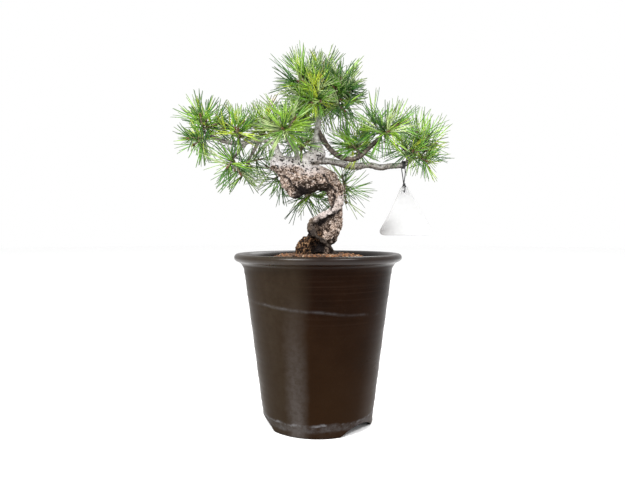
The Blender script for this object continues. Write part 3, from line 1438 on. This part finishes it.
def label_mesh():
    """A thin plate with rounded edges whose lower left corner curls back."""
    outline = label_outline()
    middle = sum(outline, Vector((0.0, 0.0))) / len(outline)
    rings = [(0.04 + 0.92 * i / 15.0, 0.00045) for i in range(16)]
    rings += [(0.985, 0.00045), (0.995, 0.00036), (1.0, 0.00016)]
    rings += [(share, -lift) for share, lift in reversed(rings)]
    turn = Matrix.Rotation(LABEL_TURN, 3, "Z")
    bm = bmesh.new()
    made = []
    for share, lift in rings:
        ring = []
        for point in outline:
            flat = middle.lerp(point, share)
            curl = LABEL_CURL * ramped((flat - Vector((-0.026, -0.049))).length, LABEL_CURL_REACH, 0.0) ** 2
            bow = LABEL_BOW * ((flat.x - middle.x) / 0.026) ** 2
            sway = LABEL_SWAY * -flat.y / 0.049
            place = Vector((flat.x + sway, curl + bow - lift, flat.y))
            ring.append(bm.verts.new(LABEL_TOP + turn @ place))
        made.append(ring)
    count = len(outline)
    for low, high in zip(made, made[1:]):
        for k in range(count):
            bm.faces.new((low[k], low[(k + 1) % count], high[(k + 1) % count], high[k]))
    bm.faces.new(reversed(made[0]))
    bm.faces.new(made[-1])
    bmesh.ops.recalc_face_normals(bm, faces=bm.faces)
    mesh = bpy.data.meshes.new("bare_label")
    bm.to_mesh(mesh)
    bm.free()
    return mesh


def coil(middle, first, second, radius, turns, rise):
    """Points on a coil round a middle, in the plane of two ways, that moves on by rise."""
    count = round(18 * turns)
    places = []
    for i in range(count + 1):
        angle = math.tau * turns * i / count
        places.append(middle + radius * (math.cos(angle) * first + math.sin(angle) * second) + rise * (i / count - 0.5))
    return places


def tie_routes():
    """The tie: coils round the bough, two strands down, a knot and an eye through the hole."""
    up = Vector((0.0, 0.0, 1.0))
    back = Vector((0.0, 1.0, 0.0))
    side = Vector((1.0, 0.0, 0.0))
    hole = LABEL_TOP + Vector((0.0, 0.0, LABEL_HOLE[0]))
    knot = LABEL_TOP + Vector((-0.0002, -0.0004, 0.0012))
    routes = [coil(TIE_BOUGH, -up, back, 0.0036, 3.0, side * 0.0030)]
    for sign in (-1.0, 1.0):
        start = TIE_BOUGH + sign * 0.0013 * side - 0.0034 * up
        points = []
        for i in range(13):
            t = i / 12.0
            sway = 0.0007 * sign * math.sin(math.pi * t) + 0.0004 * math.sin(5.0 * t + sign)
            points.append(start.lerp(knot, t) + sway * side)
        routes.append(points)
    routes.append(coil(knot, side, back, 0.0009, 2.0, up * 0.0016))
    routes.append(coil(hole + up * 0.0036, up, back, 0.0038, 1.0, side * 0.0004))
    for sign in (-1.0, 1.0):
        tail = knot + Vector((sign * 0.0016, -0.0012, -0.0022))
        routes.append([knot, knot.lerp(tail, 0.5) + sign * 0.0005 * side, tail])
    return routes


class PINE_OT_label(bpy.types.Operator):
    """Hang the bare label from its dark tie"""

    bl_idname = "pine.label"
    bl_label = "Label"

    def execute(self, context):
        sheet = NodeTree("white_sheet")
        grain = sheet.noise(300.0, 3.0)
        sheet.set("Base Color", sheet.ramp(grain, (0.35, (0.45, 0.45, 0.45)), (0.65, (0.48, 0.48, 0.48))))
        sheet.set("Roughness", sheet.ramp(grain, (0.3, 0.30), (0.7, 0.42)))
        sheet.bump(grain, 0.05, 0.0002)
        label = mesh_object("bare_label", label_mesh(), sheet.material)
        hole = bmesh.new()
        bmesh.ops.create_cone(
            hole,
            cap_ends=True,
            segments=40,
            radius1=LABEL_HOLE[1],
            radius2=LABEL_HOLE[1],
            depth=0.01,
            matrix=Matrix.Translation(LABEL_TOP + Vector((0.0, 0.0, LABEL_HOLE[0])))
            @ Matrix.Rotation(LABEL_TURN, 4, "Z")
            @ Matrix.Rotation(math.radians(90.0), 4, "X"),
        )
        mesh = bpy.data.meshes.new("hole")
        hole.to_mesh(mesh)
        hole.free()
        cutter = link(bpy.data.objects.new("hole", mesh))
        cut = label.modifiers.new("hole", "BOOLEAN")
        cut.operation = "DIFFERENCE"
        cut.object = cutter
        shaped = evaluated_copy(label)
        label.modifiers.clear()
        label.data = shaped
        bpy.data.objects.remove(cutter)
        label.data.shade_smooth()
        label.data.set_sharp_from_angle(angle=math.radians(50.0))
        finish_piece(label, "label", "label")
        cord = NodeTree("dark_tie")
        strands = cord.noise(2500.0, 2.0)
        cord.set("Base Color", cord.ramp(strands, (0.4, (0.010, 0.010, 0.011)), (0.6, (0.045, 0.045, 0.050))))
        cord.set("Roughness", cord.ramp(strands, (0.3, 0.55), (0.7, 0.8)))
        bm = bmesh.new()
        for route in tie_routes():
            add_tube(bm, [(place, TIE_RADIUS) for place in route], 10)
        mesh = bpy.data.meshes.new("knotted_tie")
        bm.to_mesh(mesh)
        bm.free()
        mesh.shade_smooth()
        finish_piece(mesh_object("knotted_tie", mesh, cord.material), "tie", "label_tie")
        return {"FINISHED"}


class PINE_PT_panel(bpy.types.Panel):
    bl_idname = "PINE_PT_panel"
    bl_label = "Potted White Pine"
    bl_space_type = "VIEW_3D"
    bl_region_type = "UI"
    bl_category = "Pine"

    def draw(self, context):
        for operator in OPERATORS:
            self.layout.operator(operator.bl_idname)


OPERATORS = (PINE_OT_stage, PINE_OT_pot, PINE_OT_soil, PINE_OT_wood, PINE_OT_needles, PINE_OT_label)
SETTINGS = {
    "pine_bark": PineBarkSettings,
    "pine_needles": PineNeedleSettings,
    "pine_pot": PinePotSettings,
    "pine_soil": PineSoilSettings,
}
LIMB_SURFACES = {}


def register():
    for cls in (*SETTINGS.values(), *OPERATORS, PINE_PT_panel):
        bpy.utils.register_class(cls)
    for name, group in SETTINGS.items():
        setattr(bpy.types.Scene, name, PointerProperty(type=group))


def unregister():
    for name in SETTINGS:
        delattr(bpy.types.Scene, name)
    for cls in reversed((*SETTINGS.values(), *OPERATORS, PINE_PT_panel)):
        bpy.utils.unregister_class(cls)


def main():
    kept = set(frame["nodes"].values()) | set(frame["bodies"].values())
    for obj in list(bpy.data.objects):
        if obj not in kept:
            bpy.data.objects.remove(obj)
    register()
    for name in BOUGHS:
        parent = ["trunk"]
        if name in ("bough_left_low", "bough_left_inner"):
            parent = ["bough_left"]
        LIMB_SURFACES[name] = surface_tree(parent)
    bpy.ops.pine.stage()
    bpy.ops.pine.pot()
    bpy.ops.pine.soil()
    bpy.ops.pine.wood()
    bpy.ops.pine.needles()
    bpy.ops.pine.label()


if __name__ == "__main__":
    main()
